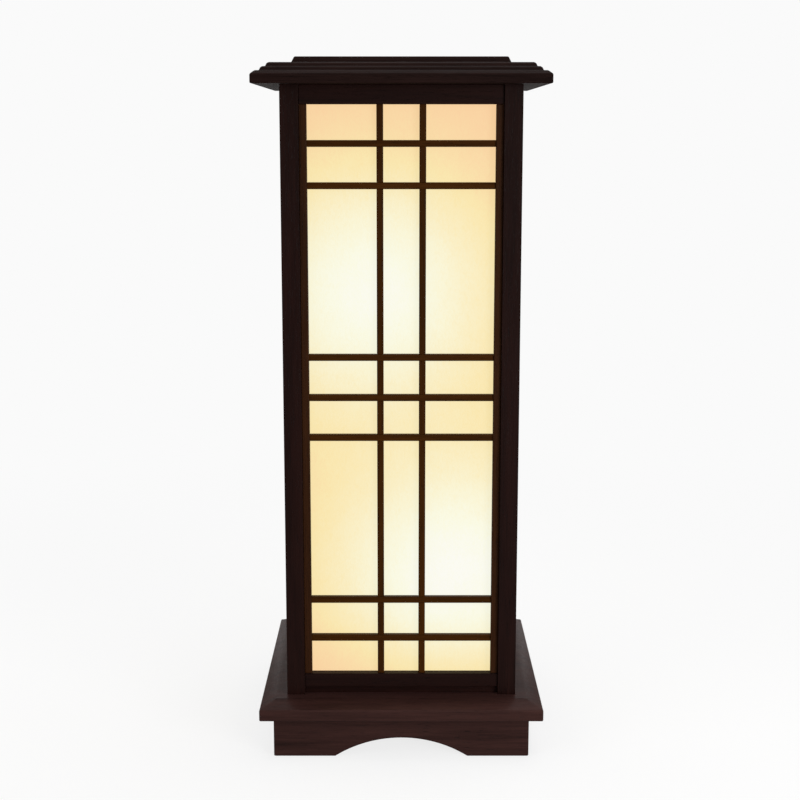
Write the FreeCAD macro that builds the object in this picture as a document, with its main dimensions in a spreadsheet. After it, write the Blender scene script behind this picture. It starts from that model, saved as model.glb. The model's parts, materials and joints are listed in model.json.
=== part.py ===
"""Square lattice floor lamp: four paper panels behind a wooden lattice, a lift-off lid and two bulbs.

Millimetres. The origin is the middle of the base's underside, +Z is up and the front faces -Y.
What repeats on the four sides is made at the front and turned about the upright axis.
"""
import FreeCAD, Part
import math
import os
import re
import Sketcher

SIZES = {
    # Base: four mitred apron boards with an arch, under a bevelled plate
    "apron_height": 36.5,
    "apron_thick": 12.0,
    "apron_margin": 11.5,
    "arch_chord": 115.6,
    "arch_rise": 16.9,
    "corner_block_side": 24.0,
    "corner_block_lift": 5.0,
    "plate_edge": 10.0,
    "plate_ledge": 9.0,
    "bevel_rise": 6.0,
    "bevel_run": 14.0,
    # Body: posts, rails and the lattice, whose panes set the size of the whole lamp
    "side_pane": 57.6,
    "middle_pane": 30.0,
    "short_pane": 29.0,
    "tall_pane": 138.5,
    "bar_width": 5.6,
    "bar_setback": 4.5,
    "bar_housing": 3.0,
    "stile_width": 6.4,
    "stile_setback": 3.0,
    "post_side": 15.4,
    "rail_setback": 2.0,
    "bottom_rail_height": 18.5,
    "top_rail_height": 16.2,
    "rebate_height": 6.5,
    "rebate_depth": 3.0,
    "tenon_length": 5.0,
    "tenon_thick": 4.0,
    "tenon_shoulder": 2.5,
    "panel_depth": 10.0,
    "panel_thick": 1.2,
    "panel_gap": 0.2,
    "panel_drop": 1.0,
    # Lid: a roof board with a bevelled drip edge and two steps, a low crown and cleats that locate it
    "lid_overhang": 22.0,
    "drip_height": 10.4,
    "drip_bevel_rise": 2.9,
    "drip_bevel_run": 3.8,
    "drip_tread": 7.4,
    "step_rise": 3.4,
    "step_run": 4.7,
    "nose_radius": 3.0,
    "crown_height": 5.4,
    "crown_margin": 19.1,
    "crown_taper": 2.6,
    "cleat_width": 10.0,
    "cleat_height": 12.0,
    "cleat_gap": 0.6,
    "cleat_screw_spacing": 110.0,
    # Countersunk wood screws
    "screw_radius": 2.0,
    "screw_head_radius": 4.0,
    "screw_head_height": 2.4,
    "post_screw_bite": 26.0,
    "corner_screw_bite": 9.0,
    "corner_screw_inset": 17.0,
    "lid_screw_bite": 9.0,
    # Lamp pipes with their nuts, and the screw holders on them
    "pipe_radius": 5.0,
    "pipe_wall": 1.2,
    "pipe_tail": 9.0,
    "pipe_entry": 9.0,
    "nut_radius": 9.0,
    "nut_height": 4.0,
    "lower_lamp_x": 45.0,
    "upper_lamp_x": -24.0,
    "upper_lamp_lift": 245.5,
    "foot_height": 18.0,
    "foot_radius": 15.0,
    "flange_radius": 22.0,
    "flange_thick": 4.0,
    "holder_wall": 4.0,
    "holder_floor": 10.0,
    "tongue_radius": 5.5,
    "tongue_thick": 1.5,
    "sleeve_wall": 1.2,
    "sleeve_lift": 5.0,
    "thread_gap": 0.4,
    # Bulbs, which screw in
    "cap_radius": 13.4,
    "cap_height": 24.0,
    "cap_wall": 1.2,
    "cap_floor": 3.0,
    "cap_show": 2.0,
    "contact_radius": 4.5,
    "contact_height": 2.5,
    "globe_radius": 30.0,
    "globe_wall": 1.2,
    "neck_angle": 20.0,
    # Wiring under the plate and up the pipes
    "wire_radius": 2.2,
    "wire_drop": 24.0,
    "wire_bend": 11.0,
    "wire_lead": 12.0,
    "terminal_length": 44.0,
    "terminal_depth": 18.0,
    "terminal_height": 16.0,
    "terminal_place": 52.0,
    "terminal_pole_radius": 2.0,
    "terminal_pole_depth": 6.0,
    "wire_exit_drop": 8.0,
    "wire_exit_spacing": 22.0,
    # Rubber sleeve in the back apron where a lead comes in
    "grommet_radius": 5.6,
    "grommet_bore_radius": 3.6,
    "grommet_flange_radius": 8.0,
    "grommet_flange_thick": 2.0,
    "grommet_clearance": 4.0,
    # How far a cut runs past the face it opens
    "overrun": 1.0,
}
NOSE_LIMIT_SHARE = 0.95
PANE_ROWS = ("short_pane", "short_pane", "tall_pane", "short_pane",
             "short_pane", "tall_pane", "short_pane", "short_pane")
SIDES = ("front", "right", "back", "left")
CORNERS = ("front_left", "front_right", "back_right", "back_left")
TERMINAL_POLES = (-1, 0, 1)

# Places worked out from the sizes, as expressions in the sheet's own words
OPENING_HALF = "(side_pane + bar_width + middle_pane / 2)"
POST_INNER = f"({OPENING_HALF} + stile_width)"
BODY_HALF = f"({POST_INNER} + post_side)"
POST_MIDDLE = f"({BODY_HALF} - post_side / 2)"
PLATE_HALF = f"({BODY_HALF} + plate_ledge + bevel_run)"
APRON_HALF = f"({BODY_HALF} + apron_margin)"
APRON_INNER = f"({APRON_HALF} - apron_thick)"
PLATE_TOP = "(apron_height + plate_edge + bevel_rise)"
OPENING_BOTTOM = f"({PLATE_TOP} + bottom_rail_height)"
OPENING_TOP = f"({OPENING_BOTTOM} + {' + bar_width + '.join(PANE_ROWS)})"
BODY_TOP = f"({OPENING_TOP} + top_rail_height)"
RAIL_FRONT = f"({BODY_HALF} - rail_setback)"
STILE_FRONT = f"({BODY_HALF} - stile_setback)"
BAR_FRONT = f"({BODY_HALF} - bar_setback)"
PANEL_FRONT = f"({BODY_HALF} - panel_depth)"
PANEL_BACK = f"({PANEL_FRONT} - panel_thick)"
PANEL_END = f"({PANEL_BACK} - panel_gap)"
BAR_MIDDLE = f"(({BAR_FRONT} + {PANEL_FRONT}) / 2)"
TENON_MIDDLE = f"(({RAIL_FRONT} + {PANEL_FRONT}) / 2)"
LID_HALF = f"({BODY_HALF} + lid_overhang)"
LOWER_STEP_HALF = f"({LID_HALF} - drip_tread)"
UPPER_STEP_HALF = f"({LOWER_STEP_HALF} - step_run)"
CROWN_HALF = f"({UPPER_STEP_HALF} - crown_margin)"
ROOF_TOP = f"({BODY_TOP} + drip_height + 2 * step_rise)"
CLEAT_OUTER = f"({PANEL_BACK} - cleat_gap)"
CLEAT_INNER = f"({CLEAT_OUTER} - cleat_width)"
CLEAT_END = f"({POST_INNER} - cleat_gap)"
CLEAT_MIDDLE = f"({CLEAT_OUTER} - cleat_width / 2)"
CAVITY_RADIUS = "(cap_radius + thread_gap + sleeve_wall)"
CAVITY_DEPTH = "(tongue_thick + contact_height + cap_height - cap_show)"
PIPE_BORE = "(pipe_radius - pipe_wall)"
GLOBE_REACH = "(globe_radius * cos(neck_angle))"
NECK_HEIGHT = f"(({GLOBE_REACH} - cap_radius) / tan(neck_angle))"
GLOBE_LIFT = f"({NECK_HEIGHT} + globe_radius * sin(neck_angle))"
TERMINAL_BOTTOM = "(apron_height - terminal_height)"
GROMMET_X = f"({APRON_INNER} - corner_block_side - grommet_flange_radius - grommet_clearance)"
GROMMET_Z = "(apron_height / 2)"
CORNER_SCREW = f"({APRON_INNER} - corner_screw_inset)"
CORNER_SCREW_TIP = "(apron_height + corner_screw_bite)"
POST_SCREW_TIP = f"({PLATE_TOP} + post_screw_bite)"
LAMP_SPOTS = {"lower": ("lower_lamp_x", PLATE_TOP),
              "upper": ("upper_lamp_x", f"({PLATE_TOP} + upper_lamp_lift)")}

UP = FreeCAD.Vector(0, 0, 1)
ACROSS = FreeCAD.Vector(1, 0, 0)

doc = FreeCAD.newDocument("lattice_lamp")
sheet = doc.addObject("Spreadsheet::Sheet", "sizes")
for row, (alias, value) in enumerate(SIZES.items(), start=1):
    sheet.set(f"A{row}", alias)
    sheet.set(f"B{row}", str(value))
    sheet.setAlias(f"B{row}", alias)
doc.recompute()

nodes = {}


def bind(item, prop, text):
    """Ties a property to an expression, in which each plain word is a cell of the sheet."""
    item.setExpression(prop, re.sub(r"\b[a-z]\w*\b(?!\()", r"sizes.\g<0>", text))


def place(item, spot):
    for axis, text in zip("xyz", spot):
        bind(item, f"Placement.Base.{axis}", text)


def node(label, item, turn=0):
    """Keeps a finished piece under its name, turned about the upright axis to its side."""
    item.Label = label
    if turn:
        item.Placement = FreeCAD.Placement(FreeCAD.Vector(), FreeCAD.Rotation(UP, turn))
    nodes[label] = item


def round_about(names):
    """Each name with its turn about the upright axis, spread evenly from the front round by the right."""
    return [(name, math.degrees(math.tau * index / len(names))) for index, name in enumerate(names)]


def block(x, y, z):
    """A block between two coordinates on each axis."""
    item = doc.addObject("Part::Box", "block")
    for prop, (low, high) in zip(("Length", "Width", "Height"), (x, y, z)):
        bind(item, prop, f"{high} - ({low})")
    place(item, (x[0], y[0], z[0]))
    return item


def tapered(low_half, high_half, z):
    """A square frustum about the upright axis, from its half width below to its half width above."""
    item = doc.addObject("Part::Wedge", "frustum")
    for axis in "XZ":
        bind(item, f"{axis}min", f"-{low_half}")
        bind(item, f"{axis}max", low_half)
        bind(item, f"{axis}2min", f"-{high_half}")
        bind(item, f"{axis}2max", high_half)
    bind(item, "Ymin", "0")
    bind(item, "Ymax", f"{z[1]} - ({z[0]})")
    item.Placement.Rotation = FreeCAD.Rotation(ACROSS, 90)
    bind(item, "Placement.Base.z", z[0])
    return item


def square_slab(half, z):
    return block((f"-{half}", half), (f"-{half}", half), z)


def bevelled_slab(half, z, bevel_run, bevel_rise):
    """A square slab whose four upper edges are bevelled."""
    bevel_z = f"({z[1]} - {bevel_rise})"
    return [square_slab(half, (z[0], bevel_z)), tapered(half, f"({half} - {bevel_run})", (bevel_z, z[1]))]


def rod(radius, span, spot, along="z"):
    """A cylinder between two coordinates on its axis; spot gives the other two."""
    item = doc.addObject("Part::Cylinder", "rod")
    bind(item, "Radius", radius)
    bind(item, "Height", f"{span[1]} - ({span[0]})")
    if along == "z":
        place(item, (*spot, span[0]))
    else:
        item.Placement.Rotation = FreeCAD.Rotation(ACROSS, -90)
        place(item, (spot[0], span[0], spot[1]))
    return item


def cone(low_radius, high_radius, z, spot):
    item = doc.addObject("Part::Cone", "cone")
    bind(item, "Radius1", low_radius)
    bind(item, "Radius2", high_radius)
    bind(item, "Height", f"{z[1]} - ({z[0]})")
    place(item, (*spot, z[0]))
    return item


def ball(radius, spot):
    item = doc.addObject("Part::Sphere", "ball")
    bind(item, "Radius", radius)
    place(item, spot)
    return item


def group(items):
    item = doc.addObject("Part::Compound", "group")
    item.Links = list(items)
    return item


def fuse(items):
    item = doc.addObject("Part::MultiFuse", "joined")
    item.Shapes = list(items)
    item.Refine = True
    return item


def cut(base, tools):
    item = doc.addObject("Part::Cut", "cut")
    item.Base = base
    item.Tool = group(tools)
    return item


def both_hands(near, far):
    """The span from near to far on the right, and its mirror image on the left."""
    return (near, far), (f"-({far})", f"-({near})")


def turned(points, spot):
    """A piece of the lathe: a closed outline of radius and height, revolved about its own upright axis."""
    body = doc.addObject("PartDesign::Body", "turned")
    plane = next(item for item in body.Origin.OriginFeatures if item.Role == "XZ_Plane")
    sketch = body.newObject("Sketcher::SketchObject", "outline")
    sketch.AttachmentSupport = [(plane, "")]
    sketch.MapMode = "FlatFace"
    corners = [number_point(point) for point in points]
    count = len(points)
    for index in range(count):
        sketch.addGeometry(Part.LineSegment(corners[index], corners[(index + 1) % count]))
    for index in range(count):
        sketch.addConstraint(Sketcher.Constraint("Coincident", index, 2, (index + 1) % count, 1))
    for index, point in enumerate(points):
        for kind, text, number, axis in zip(("DistanceX", "DistanceY"), point, corners[index], (-2, -1)):
            if text == "0":
                sketch.addConstraint(Sketcher.Constraint("PointOnObject", index, 1, axis))
                continue
            name = f"corner{index}{kind}"
            rule = sketch.addConstraint(Sketcher.Constraint(kind, -1, 1, index, 1, number))
            sketch.renameConstraint(rule, name)
            bind(sketch, f"Constraints.{name}", text)
    revolution = body.newObject("PartDesign::Revolution", "revolution")
    revolution.Profile = sketch
    revolution.ReferenceAxis = (sketch, ["V_Axis"])
    revolution.Angle = 360
    place(body, spot)
    return body


def number_point(texts):
    """The present place of a point whose coordinates are expressions."""
    marker = doc.addObject("Part::Vertex", "marker")
    for prop, text in zip("XYZ", texts):
        bind(marker, prop, text)
    marker.recompute()
    return marker.Shape.Point


def crossbar_spans():
    """The heights that each crossbar lies between, from the bottom one up."""
    for count in range(1, len(PANE_ROWS)):
        low = f"({OPENING_BOTTOM} + {' + bar_width + '.join(PANE_ROWS[:count])})"
        yield low, f"({low} + bar_width)"


def upright_spans():
    return both_hands("middle_pane / 2", "(middle_pane / 2 + bar_width)")


def tenon_span():
    return f"-({TENON_MIDDLE} + tenon_thick / 2)", f"-({TENON_MIDDLE} - tenon_thick / 2)"


def rail_heights():
    return {"bottom": (PLATE_TOP, OPENING_BOTTOM), "top": (OPENING_TOP, BODY_TOP)}


def tenon_height(low, high):
    return f"({low} + tenon_shoulder)", f"({high} - tenon_shoulder)"


def screw(spot, head_z, tip_z):
    """A countersunk screw that points up, its head flush with the face it goes in by."""
    neck_z = f"({head_z} + screw_head_height)"
    head = cone("screw_head_radius", "screw_radius", (head_z, neck_z), spot)
    return fuse([head, rod("screw_radius", (neck_z, tip_z), spot)])


def screw_hole(spot, head_z, tip_z):
    """The hole that such a screw fills, open at its head."""
    return [screw(spot, head_z, tip_z), rod("screw_head_radius", (f"({head_z} - overrun)", head_z), spot)]


def corner_spots(distance):
    return [(f"{a}{distance}", f"{b}{distance}") for a in ("-", "") for b in ("-", "")]


def make_aprons():
    """Four mitred boards, each with an arch; the back one has the hole for a lead."""
    arch_radius = "((arch_chord * arch_chord / 4 + arch_rise * arch_rise) / (2 * arch_rise))"
    through = (f"-({APRON_HALF} + overrun)", f"-({APRON_INNER} - overrun)")
    for side, turn in round_about(SIDES):
        board = doc.addObject("Part::Wedge", "board")
        bind(board, "Xmin", f"-{APRON_HALF}")
        bind(board, "Xmax", APRON_HALF)
        bind(board, "X2min", f"-{APRON_INNER}")
        bind(board, "X2max", APRON_INNER)
        bind(board, "Ymin", f"-{APRON_HALF}")
        bind(board, "Ymax", f"-{APRON_INNER}")
        for end in ("Z", "Z2"):
            bind(board, f"{end}min", "0")
            bind(board, f"{end}max", "apron_height")
        openings = [rod(arch_radius, through, ("0", f"arch_rise - {arch_radius}"), along="y")]
        if side == "back":
            openings.append(rod("grommet_radius", through, (f"-{GROMMET_X}", GROMMET_Z), along="y"))
        node(f"apron_{side}", cut(board, openings), turn)


def make_corner_blocks():
    """Blocks in the corners of the aprons, screwed up into the plate."""
    height = ("corner_block_lift", "apron_height")
    spans = both_hands(f"({APRON_INNER} - corner_block_side)", APRON_INNER)
    blocks = group(block(x, y, height) for x in spans for y in spans)
    spots = corner_spots(CORNER_SCREW)
    holes = [tool for spot in spots for tool in screw_hole(spot, "corner_block_lift", CORNER_SCREW_TIP)]
    node("apron_corner_blocks", cut(blocks, holes))
    node("corner_block_screws", group(screw(spot, "corner_block_lift", CORNER_SCREW_TIP) for spot in spots))


def make_plate():
    """The bevelled plate that the posts and the lamp pipes stand on."""
    plate = fuse(bevelled_slab(PLATE_HALF, ("apron_height", PLATE_TOP), "bevel_run", "bevel_rise"))
    holes = [rod("screw_radius", ("apron_height - overrun", CORNER_SCREW_TIP), spot)
             for spot in corner_spots(CORNER_SCREW)]
    for spot in corner_spots(POST_MIDDLE):
        holes += screw_hole(spot, "apron_height", POST_SCREW_TIP)
    for lamp_x, _ in LAMP_SPOTS.values():
        through = ("apron_height - overrun", f"{PLATE_TOP} + overrun")
        holes.append(rod("pipe_radius", through, (lamp_x, "0")))
    node("base_plate", cut(plate, holes))
    screws = [screw(spot, "apron_height", POST_SCREW_TIP) for spot in corner_spots(POST_MIDDLE)]
    node("post_screws", group(screws))


def make_grommet():
    """A rubber sleeve with a flange on each face of the back apron, beside its arch."""
    spot = (GROMMET_X, GROMMET_Z)
    outer_face = f"({APRON_HALF} + grommet_flange_thick)"
    inner_face = f"({APRON_INNER} - grommet_flange_thick)"
    solid = fuse([rod("grommet_radius", (APRON_INNER, APRON_HALF), spot, along="y"),
                  rod("grommet_flange_radius", (APRON_HALF, outer_face), spot, along="y"),
                  rod("grommet_flange_radius", (inner_face, APRON_INNER), spot, along="y")])
    through = (f"{inner_face} - overrun", f"{outer_face} + overrun")
    bore = rod("grommet_bore_radius", through, spot, along="y")
    node("lead_grommet", cut(solid, [bore]))


def make_posts():
    """Corner posts, rebated inside for two panels and mortised for four rails."""
    across = (f"-{BODY_HALF}", f"-{POST_INNER}")
    rebate = (f"-{PANEL_FRONT}", f"overrun - {POST_INNER}")
    mortise_depth = (f"-({POST_INNER} + tenon_length)", f"overrun - {POST_INNER}")
    full_height = (f"{PLATE_TOP} - overrun", f"{BODY_TOP} + overrun")
    middle = (f"-{POST_MIDDLE}", f"-{POST_MIDDLE}")
    for corner, turn in round_about(CORNERS):
        tools = [block(rebate, rebate, full_height)]
        for low, high in rail_heights().values():
            height = tenon_height(low, high)
            tools.append(block(mortise_depth, tenon_span(), height))
            tools.append(block(tenon_span(), mortise_depth, height))
        tools.append(rod("screw_radius", (f"{PLATE_TOP} - overrun", POST_SCREW_TIP), middle))
        node(f"post_{corner}", cut(block(across, across, (PLATE_TOP, BODY_TOP)), tools), turn)


def make_rails():
    """Rails between the posts, with a tenon at each end and housings for the lattice uprights."""
    depth = (f"-{RAIL_FRONT}", f"-{PANEL_FRONT}")
    housing_depth = (f"-{BAR_FRONT}", f"overrun - {PANEL_FRONT}")
    length = (f"-{POST_INNER}", POST_INNER)
    housing_height = {"bottom": (f"({OPENING_BOTTOM} - bar_housing)", f"({OPENING_BOTTOM} + overrun)"),
                      "top": (f"({OPENING_TOP} - overrun)", f"({OPENING_TOP} + bar_housing)")}
    for level, (low, high) in rail_heights().items():
        for side, turn in round_about(SIDES):
            tenons = [block(span, tenon_span(), tenon_height(low, high))
                      for span in both_hands(POST_INNER, f"({POST_INNER} + tenon_length)")]
            bar = fuse([block(length, depth, (low, high)), *tenons])
            tools = [block(span, housing_depth, housing_height[level]) for span in upright_spans()]
            if level == "bottom":
                rebate = (f"-({RAIL_FRONT} + overrun)", f"rebate_depth - {RAIL_FRONT}")
                tools.append(block(length, rebate, (f"{low} - overrun", f"({low} + rebate_height)")))
            node(f"{level}_rail_{side}", cut(bar, tools), turn)


def make_lattice():
    """Stiles, uprights and crossbars of each side; uprights and crossbars are halved together."""
    bar_depth = (f"-{BAR_FRONT}", f"-{PANEL_FRONT}")
    front_half = (f"-({BAR_FRONT} + overrun)", f"-{BAR_MIDDLE}")
    back_half = (f"-{BAR_MIDDLE}", f"overrun - {PANEL_FRONT}")
    housed_depth = (f"-{BAR_FRONT}", f"overrun - {PANEL_FRONT}")
    stile_depth = (f"-{STILE_FRONT}", f"-{PANEL_FRONT}")
    stile_housings = both_hands(f"({OPENING_HALF} - overrun)", f"({OPENING_HALF} + bar_housing)")
    bar_length = (f"-({OPENING_HALF} + bar_housing)", f"({OPENING_HALF} + bar_housing)")
    upright_length = (f"({OPENING_BOTTOM} - bar_housing)", f"({OPENING_TOP} + bar_housing)")
    heights = list(crossbar_spans())
    for side, turn in round_about(SIDES):
        stiles = group(block(span, stile_depth, (OPENING_BOTTOM, OPENING_TOP))
                       for span in both_hands(OPENING_HALF, POST_INNER))
        housings = [block(span, housed_depth, height) for span in stile_housings for height in heights]
        node(f"stiles_{side}", cut(stiles, housings), turn)
        uprights = group(block(span, bar_depth, upright_length) for span in upright_spans())
        laps = [block(span, front_half, height) for span in upright_spans() for height in heights]
        node(f"lattice_uprights_{side}", cut(uprights, laps), turn)
        crossbars = group(block(bar_length, bar_depth, height) for height in heights)
        full_height = (OPENING_BOTTOM, OPENING_TOP)
        laps = [block(span, back_half, full_height) for span in upright_spans()]
        node(f"lattice_crossbars_{side}", cut(crossbars, laps), turn)


def make_panels():
    """Paper panels behind the lattice, each between the rebates of two posts."""
    for side, turn in round_about(SIDES):
        sheet_solid = block((f"-{PANEL_END}", PANEL_END), (f"-{PANEL_FRONT}", f"-{PANEL_BACK}"),
                            (PLATE_TOP, f"({BODY_TOP} - panel_drop)"))
        node(f"paper_panel_{side}", group([sheet_solid]), turn)


def cleat_screw_spots():
    """Two screw places on each cleat."""
    ends = ["-cleat_screw_spacing / 2", "cleat_screw_spacing / 2"]
    across = [f"-{CLEAT_MIDDLE}", CLEAT_MIDDLE]
    along_x = [(end, side) for end in ends for side in across]
    along_y = [(side, end) for end in ends for side in across]
    return along_x + along_y


def rounded_slab(half, z):
    """A square slab whose four upper edges are rounded over, within the height of a step."""
    slab = square_slab(half, z)
    slab.recompute()
    middle = slab.Shape.CenterOfMass.z
    upper = [index for index, edge in enumerate(slab.Shape.Edges, start=1)
             if min(vertex.Z for vertex in edge.Vertexes) > middle]
    radius = min(sheet.nose_radius, sheet.step_rise * NOSE_LIMIT_SHARE)
    rounded = doc.addObject("Part::Fillet", "rounded")
    rounded.Base = slab
    rounded.Edges = [(index, radius, radius) for index in upper]
    return rounded


def make_lid():
    """The roof board with its stepped edge, the crown on it and the cleats under it."""
    drip_top = f"({BODY_TOP} + drip_height)"
    step_top = f"({drip_top} + step_rise)"
    steps = [*bevelled_slab(LID_HALF, (BODY_TOP, drip_top), "drip_bevel_run", "drip_bevel_rise"),
             rounded_slab(LOWER_STEP_HALF, (drip_top, step_top)),
             rounded_slab(UPPER_STEP_HALF, (step_top, ROOF_TOP))]
    spots = cleat_screw_spots()
    head_z = f"({BODY_TOP} - cleat_height)"
    tip_z = f"({BODY_TOP} + lid_screw_bite)"
    pilot = [rod("screw_radius", (f"{BODY_TOP} - overrun", tip_z), spot) for spot in spots]
    node("lid_roof_board", cut(fuse(steps), pilot))
    crown = tapered(CROWN_HALF, f"({CROWN_HALF} - crown_taper)", (ROOF_TOP, f"({ROOF_TOP} + crown_height)"))
    node("lid_crown_board", group([crown]))
    height = (head_z, BODY_TOP)
    across = both_hands(CLEAT_INNER, CLEAT_OUTER)
    long_cleats = group(block((f"-{CLEAT_END}", CLEAT_END), span, height) for span in across)
    short_cleats = group(block(span, (f"-{CLEAT_INNER}", CLEAT_INNER), height) for span in across)
    holes = [tool for spot in spots for tool in screw_hole(spot, head_z, tip_z)]
    node("lid_long_cleats", cut(long_cleats, holes))
    holes = [tool for spot in spots for tool in screw_hole(spot, head_z, tip_z)]
    node("lid_short_cleats", cut(short_cleats, holes))
    node("lid_screws", group(screw(spot, head_z, tip_z) for spot in spots))


def make_pipes():
    """A threaded pipe for each lamp, clamped to the plate by hexagon nuts."""
    nuts = []
    for lamp, (lamp_x, foot_z) in LAMP_SPOTS.items():
        spot = (lamp_x, "0")
        bottom = "(apron_height - pipe_tail)"
        top = f"({foot_z} + pipe_entry)"
        pipe = rod("pipe_radius", (bottom, top), spot)
        bore = rod(PIPE_BORE, (f"{bottom} - overrun", f"{top} + overrun"), spot)
        node(f"{lamp}_lamp_pipe", cut(pipe, [bore]))
        seats = ["(apron_height - nut_height)"]
        if lamp == "upper":
            seats.append(PLATE_TOP)
        for seat in seats:
            nut = doc.addObject("Part::Prism", "nut")
            nut.Polygon = 6
            bind(nut, "Circumradius", "nut_radius")
            bind(nut, "Height", "nut_height")
            place(nut, (*spot, seat))
            hole = rod("pipe_radius", (f"{seat} - overrun", f"{seat} + nut_height + overrun"), spot)
            nuts.append(cut(nut, [hole]))
    node("pipe_nuts", group(nuts))


def make_holders():
    """A foot on each pipe, the holder's shell on the foot, and the brass contacts inside it."""
    shell_height = f"(holder_floor + {CAVITY_DEPTH})"
    shell_radius = f"({CAVITY_RADIUS} + holder_wall)"
    for lamp, (lamp_x, foot_z) in LAMP_SPOTS.items():
        foot = turned([("pipe_radius", "0"), ("flange_radius", "0"), ("flange_radius", "flange_thick"),
                       ("foot_radius", "flange_thick"), ("foot_radius", "foot_height"),
                       (PIPE_BORE, "foot_height"), (PIPE_BORE, "pipe_entry"), ("pipe_radius", "pipe_entry")],
                      (lamp_x, "0", foot_z))
        node(f"{lamp}_holder_foot", foot)
        shell_z = f"({foot_z} + foot_height)"
        shell = turned([(PIPE_BORE, "0"), (shell_radius, "0"), (shell_radius, shell_height),
                        (CAVITY_RADIUS, shell_height), (CAVITY_RADIUS, "holder_floor"),
                        (PIPE_BORE, "holder_floor")], (lamp_x, "0", shell_z))
        node(f"{lamp}_holder_shell", shell)
        floor_z = f"({shell_z} + holder_floor)"
        inner = f"({CAVITY_RADIUS} - sleeve_wall)"
        sleeve = turned([(inner, "sleeve_lift"), (CAVITY_RADIUS, "sleeve_lift"),
                         (CAVITY_RADIUS, CAVITY_DEPTH), (inner, CAVITY_DEPTH)], (lamp_x, "0", floor_z))
        tongue = turned([("0", "0"), ("tongue_radius", "0"), ("tongue_radius", "tongue_thick"),
                         ("0", "tongue_thick")], (lamp_x, "0", floor_z))
        node(f"{lamp}_holder_contacts", group([sleeve, tongue]))


def make_bulbs():
    """Each bulb: the centre contact, the screw cap and the opal globe that narrows into the cap."""
    for lamp, (lamp_x, foot_z) in LAMP_SPOTS.items():
        spot = (lamp_x, "0")
        contact_z = f"({foot_z} + foot_height + holder_floor + tongue_thick)"
        contact = turned([("0", "0"), ("contact_radius", "0"), ("contact_radius", "contact_height"),
                          ("0", "contact_height")], (*spot, contact_z))
        node(f"{lamp}_bulb_contact", contact)
        cap_z = f"({contact_z} + contact_height)"
        bore = "(cap_radius - cap_wall)"
        cap = turned([("0", "0"), ("cap_radius", "0"), ("cap_radius", "cap_height"), (bore, "cap_height"),
                      (bore, "cap_floor"), ("0", "cap_floor")], (*spot, cap_z))
        node(f"{lamp}_bulb_cap", cap)
        neck_z = f"({cap_z} + cap_height)"
        waist_z = f"({neck_z} + {NECK_HEIGHT})"
        middle = (*spot, f"({neck_z} + {GLOBE_LIFT})")
        outside = fuse([cone("cap_radius", GLOBE_REACH, (neck_z, waist_z), spot),
                        ball("globe_radius", middle)])
        hollow = fuse([rod(bore, (f"({neck_z} - overrun)", neck_z), spot),
                       cone(bore, f"({GLOBE_REACH} - globe_wall)", (neck_z, waist_z), spot),
                       ball("(globe_radius - globe_wall)", middle)])
        node(f"{lamp}_bulb_globe", cut(outside, [hollow]))


def bent_tube(points, radius, bend):
    """A round tube along straight runs that tangent arcs join, and the length of its middle line."""
    edges = []
    start = points[0]
    for before, corner, after in zip(points, points[1:], points[2:]):
        into = (corner - before).normalize()
        out = (after - corner).normalize()
        half_turn = into.getAngle(out) / 2
        reach = bend * math.tan(half_turn)
        first, last = corner - into * reach, corner + out * reach
        inward = (out - into).normalize()
        middle = corner + inward * (bend / math.cos(half_turn) - bend)
        edges += [Part.LineSegment(start, first).toShape(), Part.Arc(first, middle, last).toShape()]
        start = last
    edges.append(Part.LineSegment(start, points[-1]).toShape())
    path = Part.Wire(edges)
    ring = Part.Circle(points[0], points[1] - points[0], radius).toShape()
    tube = path.makePipeShell([Part.Wire([ring])], True, False)
    return tube, path.Length


def make_wiring():
    """The terminal block under the plate, and a wire from it up each pipe to the holder's tongue."""
    across = ("-terminal_length / 2", "terminal_length / 2")
    depth = ("terminal_place", "(terminal_place + terminal_depth)")
    body = block(across, depth, (TERMINAL_BOTTOM, "apron_height"))
    pole_top = f"({TERMINAL_BOTTOM} + terminal_pole_depth)"
    pole_y = "(terminal_place + terminal_depth / 2)"
    poles = [rod("terminal_pole_radius", (f"({TERMINAL_BOTTOM} - overrun)", pole_top),
                 (f"{count} * terminal_length / {len(TERMINAL_POLES)}", pole_y)) for count in TERMINAL_POLES]
    node("terminal_block", cut(body, poles))
    exit_z = "(apron_height - wire_exit_drop)"
    turn_z = "(apron_height - wire_drop)"
    hands = {"lower": "wire_exit_spacing / 2", "upper": "-wire_exit_spacing / 2"}
    tubes = []
    for lamp, (lamp_x, foot_z) in LAMP_SPOTS.items():
        floor_z = f"({foot_z} + foot_height + holder_floor)"
        stops = [(hands[lamp], "terminal_place", exit_z),
                 (hands[lamp], "(terminal_place - wire_lead)", exit_z),
                 (lamp_x, "0", turn_z), (lamp_x, "0", floor_z)]
        tube, length = bent_tube([number_point(stop) for stop in stops], sheet.wire_radius, sheet.wire_bend)
        section = math.pi * sheet.wire_radius ** 2
        print(f"{lamp} wire: length {length:.1f}, bend {sheet.wire_bend:.1f},",
              f"volume share {tube.Volume / (section * length):.4f}")
        tubes.append(tube)
    wires = doc.addObject("Part::Feature", "wires")
    wires.Shape = Part.makeCompound(tubes)
    wires.Placement = FreeCAD.Placement()
    node("internal_wires", wires)


make_aprons()
make_corner_blocks()
make_plate()
make_grommet()
make_posts()
make_rails()
make_lattice()
make_panels()
make_lid()
make_pipes()
make_holders()
make_bulbs()
make_wiring()
doc.recompute()

for item in doc.Objects:
    if {"Invalid", "Error"} & set(item.State):
        raise RuntimeError(f"{item.Label} failed: {item.State}")
for label, item in nodes.items():
    if item.Shape.isNull() or not item.Shape.isValid() or not item.Shape.Solids:
        raise RuntimeError(f"{label} has no valid solid")
os.makedirs("parts", exist_ok=True)
for label, item in nodes.items():
    item.Shape.exportStep(f"parts/{label}.step")
print(f"{len(nodes)} nodes")
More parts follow.
